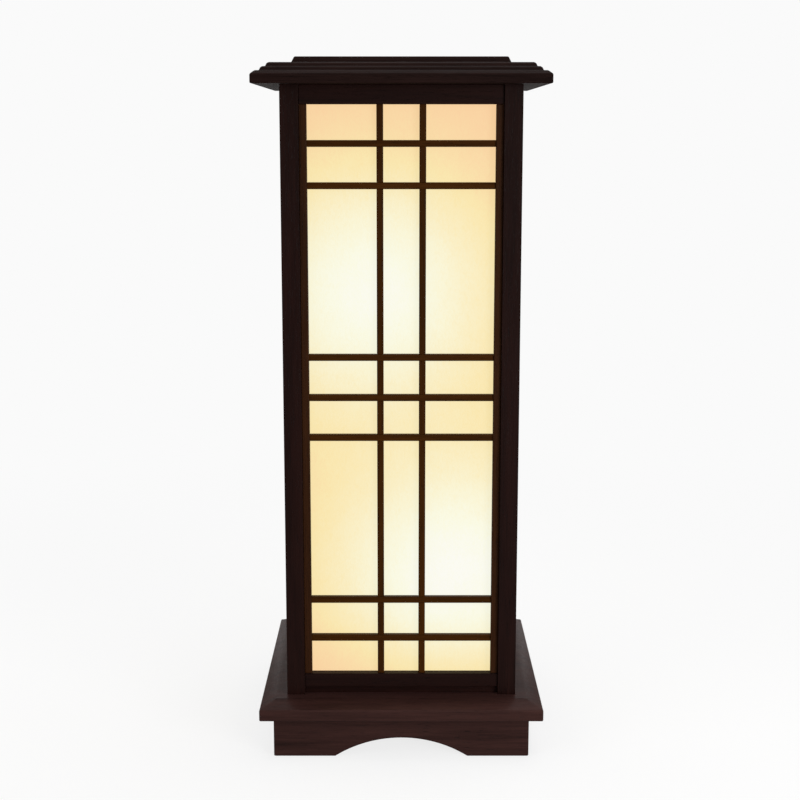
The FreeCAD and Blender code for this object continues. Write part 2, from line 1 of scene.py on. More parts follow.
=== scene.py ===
"""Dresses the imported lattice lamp: stained wood, lit paper, lamp hardware, a pale floor and a camera.

Metres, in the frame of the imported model: +Z is up, the front faces -Y and +X is to the right.
"""

import json
import math

import bmesh
import bpy
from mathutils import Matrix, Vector

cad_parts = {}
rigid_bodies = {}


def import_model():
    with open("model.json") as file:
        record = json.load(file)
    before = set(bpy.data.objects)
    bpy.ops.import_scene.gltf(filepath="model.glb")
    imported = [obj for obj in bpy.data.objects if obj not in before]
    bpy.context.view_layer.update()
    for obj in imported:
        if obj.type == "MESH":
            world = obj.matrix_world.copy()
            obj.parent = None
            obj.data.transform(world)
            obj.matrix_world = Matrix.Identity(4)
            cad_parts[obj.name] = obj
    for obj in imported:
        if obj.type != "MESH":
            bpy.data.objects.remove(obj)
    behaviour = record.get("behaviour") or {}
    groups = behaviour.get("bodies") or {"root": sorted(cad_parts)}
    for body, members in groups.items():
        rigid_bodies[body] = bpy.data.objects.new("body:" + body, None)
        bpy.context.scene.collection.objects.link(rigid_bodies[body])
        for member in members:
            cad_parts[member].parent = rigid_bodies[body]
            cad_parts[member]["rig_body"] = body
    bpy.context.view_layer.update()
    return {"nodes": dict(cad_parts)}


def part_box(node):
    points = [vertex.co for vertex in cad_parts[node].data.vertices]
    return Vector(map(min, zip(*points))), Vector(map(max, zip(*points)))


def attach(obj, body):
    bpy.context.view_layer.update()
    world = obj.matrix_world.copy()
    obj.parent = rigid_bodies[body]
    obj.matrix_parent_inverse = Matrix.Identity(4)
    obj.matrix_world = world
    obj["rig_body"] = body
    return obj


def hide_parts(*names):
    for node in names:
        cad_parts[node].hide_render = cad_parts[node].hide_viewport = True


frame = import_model()

SIDES = ("front", "right", "back", "left")
CORNERS = ("front_left", "front_right", "back_right", "back_left")
LAMPS = ("lower", "upper")
WHITE = (1, 1, 1, 1)
# A length too small to see
HAIR = 0.0001
# The values that noise mostly stays between
NOISE_SPAN = (0.3, 0.7)

# Wood: linear colour and sheen of each part, bare softwood, and how far the tone varies; the stiles' and
# lattice bars' colours are partly their stains and partly a painted orange glow of the lit paper on them
STAINS_AND_PAINTED_GLOW = {"frame": (0.0088, 0.0028, 0.0021), "stiles": (0.0240, 0.0083, 0.0028),
          "lattice": (0.033, 0.0103, 0.0012), "base": (0.0285, 0.0120, 0.0102),
          "lid": (0.0120, 0.0056, 0.0047)}
SHEENS = {"frame": 0.045, "stiles": 0.035, "lattice": 0.03, "base": 0.05, "lid": 0.02}
STAIN_ROUGHNESS = 0.42
SOFTWOOD, SOFTWOOD_SHEEN, SOFTWOOD_ROUGHNESS = (0.47, 0.31, 0.16), 0.3, 0.62
UNDERSIDE_SPAN, UNDERSIDE_ROUGHNESS = (-0.7, -0.3), 0.62
WOOD_SPREAD = (-0.05, 0.06)
DARK_SHARE, LIGHT_SHARE = 0.40, 1.75
TONE_SPAN = (0.34, 0.92)
# Grain: each streak's width across and length along the grain, and its weight in the tone
FIGURE, FIGURE_WEIGHT = (0.010, 0.20), 0.75
FIBRE, FIBRE_WEIGHT = (0.0011, 0.032), 0.45
PORE, PIT_WEIGHT = (0.0006, 0.009), -0.22
PIECE_WEIGHT = 0.10
PIT_SPAN = (0.60, 0.74)
FIBRE_HEIGHT_SHARE = 0.4
GRAIN_DEPTH = 0.00012

# Metal and plastic: linear colour and roughness, and noise cells in a metre
METALS = {"zinc_steel": ((0.56, 0.56, 0.54), 0.34), "screw_steel": ((0.50, 0.46, 0.37), 0.38),
          "brass": ((0.78, 0.55, 0.22), 0.3), "cap_metal": ((0.72, 0.71, 0.68), 0.24)}
METAL_SMEARS, METAL_CLOUDS = 900, 120
METAL_DULL_SHARE, METAL_SPREAD = 0.78, (-0.08, 0.1)
METAL_CLOUD_SPAN = (0.35, 0.65)
METAL_DEPTH = 0.00002
PLASTICS = {"black_plastic": ((0.012, 0.012, 0.012), 0.42), "white_plastic": ((0.62, 0.62, 0.58), 0.45),
            "wire_sheath": ((0.52, 0.50, 0.45), 0.5), "rubber": ((0.010, 0.010, 0.010), 0.7)}
PLASTIC_GRIT, PLASTIC_CLOUDS = 2200, 70
PLASTIC_DULL_SHARE, PLASTIC_SPREAD = 0.8, (-0.06, 0.08)
PLASTIC_DEPTH = 0.00004

# Lit paper: its depth behind the posts' faces, display colours by the light on it, clouds and fibres
PANEL_DEPTH = 0.010
BULB_STRENGTHS = {"lower": 1.0, "upper": 0.83}
PAPER_GLOW = ((0.03, (250, 209, 162)), (0.125, (250, 230, 174)), (0.375, (250, 244, 212)),
              (0.60, (250, 249, 227)), (1.0, (251, 250, 241)), (5.0, (252, 252, 248)))
GLOW_KNEE = 0.6
GLOW_FALL = 4.0
PAPER_REFLECTED = (0.07, 0.06, 0.043)
PAPER_CLOUDS, PAPER_CLOUD_LIGHT = 60, (0.92, 1.0)
PAPER_FIBRES, PAPER_FIBRE_SPAN, PAPER_FIBRE_LIGHT = (420, 420, 150), (0.35, 0.72), (0.10, -0.16)
PAPER_DEPTH = 0.0001
HOLDER_SHADE_SPAN, HOLDER_SHADE = (0.06, 0.14), (0.55, 1.0)

# Opal glass: display colours by how far it lies past the globe's radius, and its milky clouds
OPAL_GLOW = ((0.0, (247, 236, 208)), (0.35, (226, 188, 132)), (0.6, (150, 104, 62)))
OPAL_FADE, OPAL_START = 20.0, 0.03
OPAL_MILK, OPAL_MILK_WEIGHT = 80, 0.05

# Rows of points in each pitch of a thread
THREAD_ROWS = 8

# Wood screws: the thread, the plain length before it and the heights of the head's rounded edge
SCREW_PITCH, SCREW_THREAD_DEPTH, SCREW_PLAIN = 0.0018, 0.0005, 0.002
SCREW_EDGE, SCREW_ROUND = 0.0001, 0.0004
# Shares of the head's radius, of its step in to the shank for the neck, and of the shank's for the tip
FACE_SHARE, ROUND_SHARE, SHANK_SHARE, NECK_SHARE, TIP_SHARE = 0.74, 0.97, 0.5, 1.2, 2
# The cross recess: shares of the head's radius, and the floor's share of the mouth
ARM_SHARE, SLOT_SHARE, RECESS_SHARE, FLOOR_SHARE = 0.56, 0.13, 0.4, 0.7

# Screws in the terminal block's wells
TERMINAL_POLES, TERMINAL_FACE_SHARE = (-1, 0, 1), 0.8
TERMINAL_WELL_RADIUS, TERMINAL_WELL_DEPTH = 0.002, 0.006
TERMINAL_PLAY, TERMINAL_CHAMFER = 0.0002, 0.0004

# Nuts and pipes
HEXAGON_SIDE = math.pi / 3
NUT_FACE_SHARE, NUT_CHAMFER_ANGLE = 0.97, math.pi / 6
PIPE_WALL, PIPE_PITCH, PIPE_THREAD_DEPTH, PIPE_THREAD_LENGTH = 0.0012, 0.001, 0.0005, 0.036

# Holder shells, from the foot up
FOOT_ROUND, RIM_ROUND, ROUND_INSET, LIP_CHAMFER = 0.0015, 0.0012, 0.0004, 0.0006
RIB_COUNT, RIB_POINTS, RIB_DEPTH, RIB_FADE = 30, 6, 0.0007, 0.0008
GRIP_LIFT, GRIP_SHARE = 0.004, 0.62
GROOVE_LIFT, GROOVE_SLOPE, GROOVE_WIDTH, GROOVE_DEPTH = 0.002, 0.0004, 0.0008, 0.0008

# Bulb caps: the insulator at the bottom, the thread and the collar
CAP_WALL, CAP_PITCH, CAP_THREAD_DEPTH = 0.0012, 0.003629, 0.0011
INSULATOR_HEIGHT, INSULATOR_TIP_SHARE, INSULATOR_TOP_SHARE = 0.0035, 0.55, 0.82
SHOULDER_SHARE, SHOULDER_LIFT = 0.92, 0.001
THREAD_END, COLLAR = 0.0035, 0.002

# Floor, surround, lights (place, side and power) and camera
SEEN_RAYS = ("Is Camera Ray", "Is Glossy Ray", "Is Transmission Ray")
BACKGROUND, AMBIENT = 0.956, 0.40
FLOOR_RADIUS, FLOOR_FADE = 3.0, (0.35, 1.2)
FLOOR_GREY, FLOOR_GLOW = (0.20, 0.20, 0.20, 1), 0.795
LIGHTS = {"key": ((1.3, -1.7, 0.38), 1.0, 38), "fill": ((-1.6, -1.2, 1.4), 1.4, 10),
          "top": ((0.3, 0.2, 2.3), 1.6, 18)}
LIGHT_AIM = (0, 0, 0.25)
CAMERA_PLACE, CAMERA_DIP = (-0.0011, -1.351, 0.540), 10.187
CAMERA_SENSOR, CAMERA_LENS = 36.0, 67.5


class Shading:
    """A material's node tree, with short calls for the nodes used here."""

    def __init__(self, name):
        self.material = bpy.data.materials.new(name)
        self.material.use_nodes = True
        self.tree = self.material.node_tree
        self.tree.nodes.clear()
        self.output = self.add("ShaderNodeOutputMaterial")
        self.spot = self.add("ShaderNodeTexCoord").outputs["Object"]

    def add(self, kind, **settings):
        item = self.tree.nodes.new(kind)
        for name, value in settings.items():
            setattr(item, name, value)
        return item

    def feed(self, socket, value):
        """Links a socket to another node's output, or sets its own value."""
        if isinstance(value, bpy.types.NodeSocket):
            self.tree.links.new(value, socket)
        else:
            socket.default_value = value

    def surface(self, shader_output):
        self.tree.links.new(shader_output, self.output.inputs["Surface"])

    def principled(self, **values):
        shader = self.add("ShaderNodeBsdfPrincipled")
        for name, value in values.items():
            self.feed(shader.inputs[name.replace("_", " ")], value)
        self.surface(shader.outputs[0])

    def math(self, operation, first, second=0.0, third=0.0):
        item = self.add("ShaderNodeMath", operation=operation)
        for socket, value in zip(item.inputs, (first, second, third)):
            self.feed(socket, value)
        return item.outputs[0]

    def sum(self, first, *others):
        for value in others:
            first = self.math("ADD", first, value)
        return first

    def vector(self, operation, first, second):
        item = self.add("ShaderNodeVectorMath", operation=operation)
        self.feed(item.inputs[0], first)
        self.feed(item.inputs[1], second)
        return item.outputs["Value" if operation in ("DISTANCE", "DOT_PRODUCT") else "Vector"]

    def normal(self):
        """The direction that the surface faces."""
        return self.add("ShaderNodeNewGeometry").outputs["Normal"]

    def upward(self, vector):
        """The Z part of a vector."""
        item = self.add("ShaderNodeSeparateXYZ")
        self.feed(item.inputs[0], vector)
        return item.outputs["Z"]

    def scaled(self, factors):
        """The piece's own coordinates, multiplied along each axis."""
        return self.vector("MULTIPLY", self.spot, factors)

    def per_metre(self, count):
        """The piece's own coordinates, multiplied alike along all axes."""
        return self.scaled((count, count, count))

    def distance(self, place):
        return self.vector("DISTANCE", self.spot, place)

    def noise(self, vector, detail=3.0, roughness=0.55, distortion=0.0):
        item = self.add("ShaderNodeTexNoise")
        self.feed(item.inputs["Vector"], vector)
        item.inputs["Scale"].default_value = 1.0
        item.inputs["Detail"].default_value = detail
        item.inputs["Roughness"].default_value = roughness
        item.inputs["Distortion"].default_value = distortion
        return item.outputs["Fac"]

    def remap(self, value, source, target):
        item = self.add("ShaderNodeMapRange", interpolation_type="SMOOTHSTEP")
        self.feed(item.inputs["Value"], value)
        for name, number in zip(("From Min", "From Max", "To Min", "To Max"), (*source, *target)):
            item.inputs[name].default_value = number
        return item.outputs[0]

    def varied(self, noise, level, spread):
        """A level that noise moves down and up by so much."""
        down, up = spread
        return self.remap(noise, NOISE_SPAN, (level + down, level + up))

    def ramp(self, factor, stops):
        item = self.add("ShaderNodeValToRGB")
        self.feed(item.inputs[0], factor)
        elements = item.color_ramp.elements
        while len(elements) < len(stops):
            elements.new(0.5)
        for element, (position, colour) in zip(elements, stops):
            element.position = position
            element.color = (*colour, 1.0)
        return item.outputs["Color"]

    def bump(self, height, distance, strength):
        item = self.add("ShaderNodeBump")
        self.feed(item.inputs["Height"], height)
        item.inputs["Distance"].default_value = distance
        item.inputs["Strength"].default_value = strength
        return item.outputs["Normal"]


def linear(red, green, blue):
    """A display colour, 0 to 255, as the linear colour that shaders take."""
    def channel(value):
        share = value / 255
        return share / 12.92 if share <= 0.04045 else ((share + 0.055) / 1.055) ** 2.4
    return channel(red), channel(green), channel(blue)


def shade(colour, share):
    """A colour made lighter or darker."""
    return [channel * share for channel in colour]


def middle_of(low, high):
    return (low + high) / 2


def half_width(node):
    low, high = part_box(node)
    return (high.x - low.x) / 2


def pipe_radius():
    """Half the thickness of the lamp pipes, which are alike."""
    return half_width("upper_lamp_pipe")


def globe_middle(lamp):
    """The middle of a bulb's globe, which is as far below its top as it is wide to each side."""
    node = f"{lamp}_bulb_globe"
    low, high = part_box(node)
    middle = middle_of(low, high)
    return Vector((middle.x, middle.y, high.z - half_width(node)))


def grain_factors(axis, across, along):
    """Noise factors for streaks so wide across the grain and so long along it."""
    return tuple(1 / along if name == axis else 1 / across for name in "xyz")


def wood(name, axis, colour, roughness, sheen):
    """Wood with its grain along one axis: broad figure, fine fibres and short open pores."""
    shading = Shading(name)
    figure = shading.noise(shading.scaled(grain_factors(axis, *FIGURE)), detail=4.0, distortion=0.6)
    fibre = shading.noise(shading.scaled(grain_factors(axis, *FIBRE)), detail=3.0)
    pores = shading.noise(shading.scaled(grain_factors(axis, *PORE)), detail=1.0)
    pits = shading.remap(pores, PIT_SPAN, (0.0, 1.0))
    piece_tone = shading.add("ShaderNodeObjectInfo").outputs["Random"]
    weights = ((figure, FIGURE_WEIGHT), (fibre, FIBRE_WEIGHT),
               (piece_tone, PIECE_WEIGHT), (pits, PIT_WEIGHT))
    tone = shading.sum(*[shading.math("MULTIPLY", part, weight) for part, weight in weights])
    stops = tuple(zip(TONE_SPAN, (shade(colour, DARK_SHARE), shade(colour, LIGHT_SHARE))))
    height = shading.math("SUBTRACT", shading.math("MULTIPLY", fibre, FIBRE_HEIGHT_SHARE), pits)
    lacquer = shading.varied(fibre, roughness, WOOD_SPREAD)
    facing_up = shading.upward(shading.normal())
    underside = shading.remap(facing_up, UNDERSIDE_SPAN, (UNDERSIDE_ROUGHNESS, 0.0))
    shading.principled(Base_Color=shading.ramp(tone, stops),
                       Roughness=shading.math("MAXIMUM", lacquer, underside), Specular_IOR_Level=sheen,
                       Normal=shading.bump(height, distance=GRAIN_DEPTH, strength=0.6))
    return shading.material


def metal(name, colour, roughness):
    """Bare or plated metal, unevenly polished."""
    shading = Shading(name)
    smears = shading.noise(shading.per_metre(METAL_SMEARS), detail=4.0)
    clouds = shading.noise(shading.per_metre(METAL_CLOUDS), detail=2.0)
    stops = tuple(zip(METAL_CLOUD_SPAN, (shade(colour, METAL_DULL_SHARE), colour)))
    shading.principled(Base_Color=shading.ramp(clouds, stops), Metallic=1.0,
                       Roughness=shading.varied(smears, roughness, METAL_SPREAD),
                       Normal=shading.bump(smears, distance=METAL_DEPTH, strength=0.5))
    return shading.material


def moulded(name, colour, roughness):
    """Moulded plastic or rubber: a fine even texture and slight clouds in its colour."""
    shading = Shading(name)
    grit = shading.noise(shading.per_metre(PLASTIC_GRIT), detail=2.0)
    clouds = shading.noise(shading.per_metre(PLASTIC_CLOUDS), detail=3.0)
    stops = tuple(zip(NOISE_SPAN, (shade(colour, PLASTIC_DULL_SHARE), colour)))
    shading.principled(Base_Color=shading.ramp(clouds, stops),
                       Roughness=shading.varied(grit, roughness, PLASTIC_SPREAD), Specular_IOR_Level=0.4,
                       Normal=shading.bump(grit, distance=PLASTIC_DEPTH, strength=0.6))
    return shading.material


def bulb_light(shading):
    """The bulbs' light on a panel: 1 straight in front of a full bulb on the lamp's middle line."""
    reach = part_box("post_front_right")[1].x - PANEL_DEPTH
    normal = shading.normal()
    shares = []
    for lamp, strength in BULB_STRENGTHS.items():
        middle = globe_middle(lamp)
        nearness = shading.math("DIVIDE", reach, shading.distance(middle))
        from_bulb = shading.vector("SUBTRACT", shading.spot, middle)
        straight = shading.vector("DOT_PRODUCT", from_bulb, normal)
        slant = shading.math("MULTIPLY", shading.math("ABSOLUTE", straight), strength / reach)
        shares.append(shading.math("MULTIPLY", shading.math("POWER", nearness, GLOW_FALL), slant))
    return shading.sum(*shares)


def paper():
    """Cream paper lit by the bulbs behind it: near white close to a bulb, amber far from both."""
    shading = Shading("panel_paper")
    clouds = shading.noise(shading.per_metre(PAPER_CLOUDS), detail=4.0)
    fibres = shading.noise(shading.scaled(PAPER_FIBRES), detail=4.0, roughness=0.65, distortion=2.2)
    thickness = shading.sum(shading.remap(clouds, NOISE_SPAN, PAPER_CLOUD_LIGHT),
                            shading.remap(fibres, PAPER_FIBRE_SPAN, PAPER_FIBRE_LIGHT))
    holder_shade = shading.remap(shading.upward(shading.spot), HOLDER_SHADE_SPAN, HOLDER_SHADE)
    light = shading.math("MULTIPLY", shading.math("MULTIPLY", bulb_light(shading), holder_shade), thickness)
    light = shading.math("DIVIDE", light, shading.math("ADD", light, GLOW_KNEE))
    stops = []
    for position, seen in PAPER_GLOW:
        glow = [whole - share for whole, share in zip(linear(*seen), PAPER_REFLECTED)]
        stops.append((position / (position + GLOW_KNEE), glow))
    shading.principled(Base_Color=(*PAPER_REFLECTED, 1.0), Roughness=0.85, Specular_IOR_Level=0.2,
                       Emission_Color=shading.ramp(light, stops), Emission_Strength=1.0,
                       Normal=shading.bump(fibres, distance=PAPER_DEPTH, strength=0.5))
    return shading.material


def opal():
    """Opal glass lit from inside, brightest round the middle of the globe and dimmer down its neck."""
    shading = Shading("opal_glass")
    distances = [shading.distance(globe_middle(lamp)) for lamp in LAMPS]
    nearest = shading.math("MINIMUM", *distances)
    milk = shading.noise(shading.per_metre(OPAL_MILK), detail=3.0)
    far = shading.math("MULTIPLY_ADD", nearest, OPAL_FADE, third=-OPAL_FADE * OPAL_START)
    stops = [(position, linear(*seen)) for position, seen in OPAL_GLOW]
    glow = shading.ramp(shading.sum(far, shading.math("MULTIPLY", milk, OPAL_MILK_WEIGHT)), stops)
    shading.principled(Base_Color=(0.10, 0.095, 0.08, 1.0), Roughness=0.18, Specular_IOR_Level=0.5,
                       Emission_Color=glow, Emission_Strength=1.0)
    return shading.material


def dress(nodes, material):
    for name in nodes:
        slots = frame["nodes"][name].data.materials
        slots.clear()
        slots.append(material)


def ease(nodes, width, segments=3, clamp=True):
    """Rounds the sharp edges of CAD pieces by a little, as sanding and lacquer do."""
    for name in nodes:
        piece = frame["nodes"][name]
        weld = piece.modifiers.new("weld", "WELD")
        weld.merge_threshold = 0.00001
        flat = piece.modifiers.new("flat faces", "DECIMATE")
        flat.decimate_type = "DISSOLVE"
        flat.angle_limit = math.radians(0.5)
        edges = piece.modifiers.new("eased edges", "BEVEL")
        edges.width = width
        edges.segments = segments
        edges.use_clamp_overlap = clamp
        edges.loop_slide = False
        edges.limit_method = "ANGLE"
        edges.angle_limit = math.radians(35)
        normals = piece.modifiers.new("normals", "WEIGHTED_NORMAL")
        normals.weight = 100


def names(pattern, *groups):
    """Node names from a pattern and every choice of its blanks."""
    found = [pattern]
    for choices in groups:
        found = [text.replace("{}", choice, 1) for text in found for choice in choices]
    return found


def dress_wood():
    """The frame, base and lid in dark stains under satin lacquer, with the grain along each piece; the
    stiles and lattice bars are lighter and more orange, partly from their stains and partly from a painted
    glow of the lit paper.
    """
    stain_and_glow_materials = {}

    def stain_and_painted_glow(part, axis):
        if (part, axis) not in stain_and_glow_materials:
            name = f"dark_wood_{part}_{axis}"
            stain_and_glow_materials[part, axis] = wood(name, axis, STAINS_AND_PAINTED_GLOW[part], STAIN_ROUGHNESS, SHEENS[part])
        return stain_and_glow_materials[part, axis]

    dress(names("post_{}", CORNERS), stain_and_painted_glow("frame", "z"))
    # Stiles and lattice bars: colour partly their stains, partly a painted glow of the lit paper
    dress(names("stiles_{}", SIDES), stain_and_painted_glow("stiles", "z"))
    dress(names("lattice_uprights_{}", SIDES), stain_and_painted_glow("lattice", "z"))
    lengthwise = {"apron_{}": "base", "bottom_rail_{}": "frame", "top_rail_{}": "frame",
                  "lattice_crossbars_{}": "lattice"}
    for pattern, part in lengthwise.items():
        dress(names(pattern, ("front", "back")), stain_and_painted_glow(part, "x"))
        dress(names(pattern, ("left", "right")), stain_and_painted_glow(part, "y"))
    dress(["base_plate"], stain_and_painted_glow("base", "x"))
    dress(["lid_roof_board", "lid_crown_board"], stain_and_painted_glow("lid", "x"))
    ease(names("post_{}", CORNERS), width=0.0012)
    ease(names("{}_rail_{}", ("bottom", "top"), SIDES) + names("stiles_{}", SIDES), width=0.0006)
    ease(names("lattice_{}_{}", ("uprights", "crossbars"), SIDES), width=0.0005, segments=2)
    ease(names("apron_{}", SIDES), width=0.0008, clamp=False)
    ease(["base_plate"], width=0.0012, clamp=False)
    ease(["lid_roof_board", "lid_crown_board"], width=0.0009, clamp=False)


def dress_inner_wood():
    """Bare softwood inside: the lid's cleats and the blocks in the corners of the base."""
    along = {"lid_long_cleats": "x", "lid_short_cleats": "y", "apron_corner_blocks": "z"}
    for node, axis in along.items():
        dress([node], wood(f"inner_wood_{axis}", axis, SOFTWOOD, SOFTWOOD_ROUGHNESS, SOFTWOOD_SHEEN))
    ease(along, width=0.0006)


def separate_solids(node):
    """The lowest and highest corner of each separate solid of a CAD node."""
    mesh = bmesh.new()
    mesh.from_mesh(frame["nodes"][node].data)
    bmesh.ops.remove_doubles(mesh, verts=mesh.verts, dist=0.000001)
    left = set(mesh.verts)
    boxes = []
    while left:
        found = {left.pop()}
        newest = set(found)
        while newest:
            newest = {edge.other_vert(vert) for vert in newest for edge in vert.link_edges} - found
            found |= newest
        left -= found
        places = [vert.co for vert in found]
        boxes.append((Vector(map(min, zip(*places))), Vector(map(max, zip(*places)))))
    mesh.free()
    return sorted(boxes, key=lambda box: tuple(box[0]))


def new_piece(name, solid, materials, node):
    """A modelled piece on the same body as a CAD node."""
    bmesh.ops.recalc_face_normals(solid, faces=solid.faces)
    mesh = bpy.data.meshes.new(name)
    solid.to_mesh(mesh)
    solid.free()
    for material in materials:
        mesh.materials.append(material)
    mesh.shade_smooth()
    mesh.set_sharp_from_angle(angle=math.radians(38))
    piece = bpy.data.objects.new(name, mesh)
    bpy.context.scene.collection.objects.link(piece)
    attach(piece, frame["nodes"][node]["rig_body"])
    return piece


def lathe(solid, outline, spot, segments, closed=True):
    """Turns an outline of radius and height about an upright axis; an entry may depend on the angle."""
    rings = []
    for entry in outline:
        ring = []
        for index in range(segments):
            angle = math.tau * index / segments
            radius, height = entry(angle) if callable(entry) else entry
            x = spot.x + radius * math.cos(angle)
            y = spot.y + radius * math.sin(angle)
            ring.append(solid.verts.new((x, y, height)))
            if radius == 0:
                break
        rings.append(ring)
    following = rings[1:] + rings[:1] if closed else rings[1:]
    for low, high in zip(rings, following):
        for index in range(segments):
            step = index + 1
            corners = (low[index % len(low)], low[step % len(low)],
                       high[step % len(high)], high[index % len(high)])
            corners = list(dict.fromkeys(corners))
            if len(corners) > 2:
                solid.faces.new(corners)
    return rings


def thread_rows(low, high, radius, pitch, depth):
    """Rows of a screw thread: the radius dips once in every pitch, further round at each height."""
    def row(height):
        def entry(angle):
            dip = 0.5 - 0.5 * math.cos(math.tau * height / pitch - angle)
            return radius - depth * dip, height
        return entry
    count = math.ceil((high - low) / pitch * THREAD_ROWS)
    return [row(low + (high - low) * index / count) for index in range(count + 1)]


def recess(solid, rim, spot, face_z, head):
    """Closes the face of a screw's head with a tapered cross recess."""
    arm, half = head * ARM_SHARE, head * SLOT_SHARE
    corners = []
    for turn in range(4):
        for x, y in ((arm, -half), (arm, half), (half, half)):
            for _ in range(turn):
                x, y = -y, x
            corners.append((x, y))

    def outline(share, z):
        return [solid.verts.new((spot.x + x * share, spot.y + y * share, z)) for x, y in corners]

    mouth = outline(1, face_z)
    floor = outline(FLOOR_SHARE, face_z + head * RECESS_SHARE)
    edges = []
    for loop in (rim, mouth):
        for first, second in zip(loop, loop[1:] + loop[:1]):
            edges.append(solid.edges.get((first, second)) or solid.edges.new((first, second)))
    bmesh.ops.bridge_loops(solid, edges=edges)
    count = len(corners)
    for index in range(count):
        step = (index + 1) % count
        solid.faces.new((mouth[index], mouth[step], floor[step], floor[index]))
    solid.faces.new(floor)


def screw(solid, low, high):
    """A countersunk wood screw that points up, with a cross recess in its head."""
    spot = middle_of(low, high)
    head = (high.x - low.x) / 2
    shank = head * SHANK_SHARE
    neck = low.z + (head - shank) * NECK_SHARE
    tip = high.z - shank * TIP_SHARE
    outline = [(head * FACE_SHARE, low.z), (head * ROUND_SHARE, low.z + SCREW_EDGE),
               (head, low.z + SCREW_ROUND), (shank, neck),
               *thread_rows(neck + SCREW_PLAIN, tip, shank, SCREW_PITCH, SCREW_THREAD_DEPTH), (0, high.z)]
    rings = lathe(solid, outline, spot, segments=24, closed=False)
    recess(solid, rings[0], spot, low.z, head)


def make_screws(steel):
    """The wood screws of the posts, the corner blocks and the lid's cleats."""
    for node in ("post_screws", "corner_block_screws", "lid_screws"):
        solid = bmesh.new()
        for low, high in separate_solids(node):
            screw(solid, low, high)
        piece = new_piece(f"{node}_cross_head", solid, [steel], node)
        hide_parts(node)


def nut(solid, low, high, bore):
    """A hexagon nut with its corners chamfered top and bottom."""
    flat = (high.x - low.x) / 2 * math.cos(HEXAGON_SIDE / 2)
    face = flat * NUT_FACE_SHARE

    def wall(angle):
        return flat / math.cos(angle % HEXAGON_SIDE - HEXAGON_SIDE / 2)

    def chamfer(angle):
        return (wall(angle) - face) * math.tan(NUT_CHAMFER_ANGLE)

    outline = [(bore, low.z), (face, low.z), lambda angle: (wall(angle), low.z + chamfer(angle)),
               lambda angle: (wall(angle), high.z - chamfer(angle)), (face, high.z), (bore, high.z)]
    lathe(solid, outline, middle_of(low, high), segments=48)


def make_nuts(zinc):
    """The nuts that clamp the lamp pipes to the plate."""
    solid = bmesh.new()
    for low, high in separate_solids("pipe_nuts"):
        nut(solid, low, high, pipe_radius() - HAIR)
    piece = new_piece("pipe_hexagon_nuts", solid, [zinc], "pipe_nuts")
    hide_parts("pipe_nuts")


def make_pipes(zinc):
    """Lamp pipes, threaded where the nuts clamp them and plain above."""
    for lamp in LAMPS:
        node = f"{lamp}_lamp_pipe"
        low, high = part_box(node)
        radius = pipe_radius()
        bore = radius - PIPE_WALL
        thread_top = min(low.z + PIPE_THREAD_LENGTH, high.z - PIPE_PITCH)
        outline = [(bore, low.z), (radius - PIPE_THREAD_DEPTH, low.z),
                   *thread_rows(low.z + PIPE_PITCH, thread_top, radius, PIPE_PITCH, PIPE_THREAD_DEPTH),
                   (radius, thread_top + PIPE_PITCH), (radius, high.z), (bore, high.z)]
        solid = bmesh.new()
        lathe(solid, outline, middle_of(low, high), segments=32)
        piece = new_piece(f"{lamp}_threaded_pipe", solid, [zinc], node)
        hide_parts(node)


def holder_outline(lamp):
    """A holder's section: a ribbed grip below, a groove, and a plain collar with a rounded rim."""
    node = f"{lamp}_holder_shell"
    contacts = f"{lamp}_holder_contacts"
    low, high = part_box(node)
    floor_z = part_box(contacts)[0].z
    radius = half_width(node)
    cavity = half_width(contacts)
    bore = pipe_radius() - PIPE_WALL
    grip_low = low.z + GRIP_LIFT
    grip_high = low.z + (high.z - low.z) * GRIP_SHARE
    groove_low = grip_high + GROOVE_LIFT
    groove_high = groove_low + 2 * GROOVE_SLOPE + GROOVE_WIDTH

    def rib(height):
        return lambda angle: (radius - RIB_DEPTH * (0.5 - 0.5 * math.cos(RIB_COUNT * angle)), height)

    foot = [(bore, low.z), (radius - FOOT_ROUND, low.z), (radius - ROUND_INSET, low.z + ROUND_INSET),
            (radius, low.z + FOOT_ROUND)]
    grip = [(radius, grip_low - RIB_FADE), rib(grip_low), rib(grip_high), (radius, grip_high + RIB_FADE)]
    groove = [(radius, groove_low), (radius - GROOVE_DEPTH, groove_low + GROOVE_SLOPE),
              (radius - GROOVE_DEPTH, groove_high - GROOVE_SLOPE), (radius, groove_high)]
    rim = [(radius, high.z - RIM_ROUND), (radius - ROUND_INSET, high.z - ROUND_INSET),
           (radius - RIM_ROUND, high.z)]
    inside = [(cavity + LIP_CHAMFER, high.z), (cavity, high.z - LIP_CHAMFER),
              (cavity, floor_z), (bore, floor_z)]
    return foot + grip + groove + rim + inside


def make_holder_shells(plastic):
    """Moulded shells round the brass contacts that the bulbs screw into."""
    for lamp in LAMPS:
        node = f"{lamp}_holder_shell"
        solid = bmesh.new()
        lathe(solid, holder_outline(lamp), middle_of(*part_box(node)), segments=RIB_COUNT * RIB_POINTS)
        piece = new_piece(f"{lamp}_ribbed_holder", solid, [plastic], node)
        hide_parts(node)


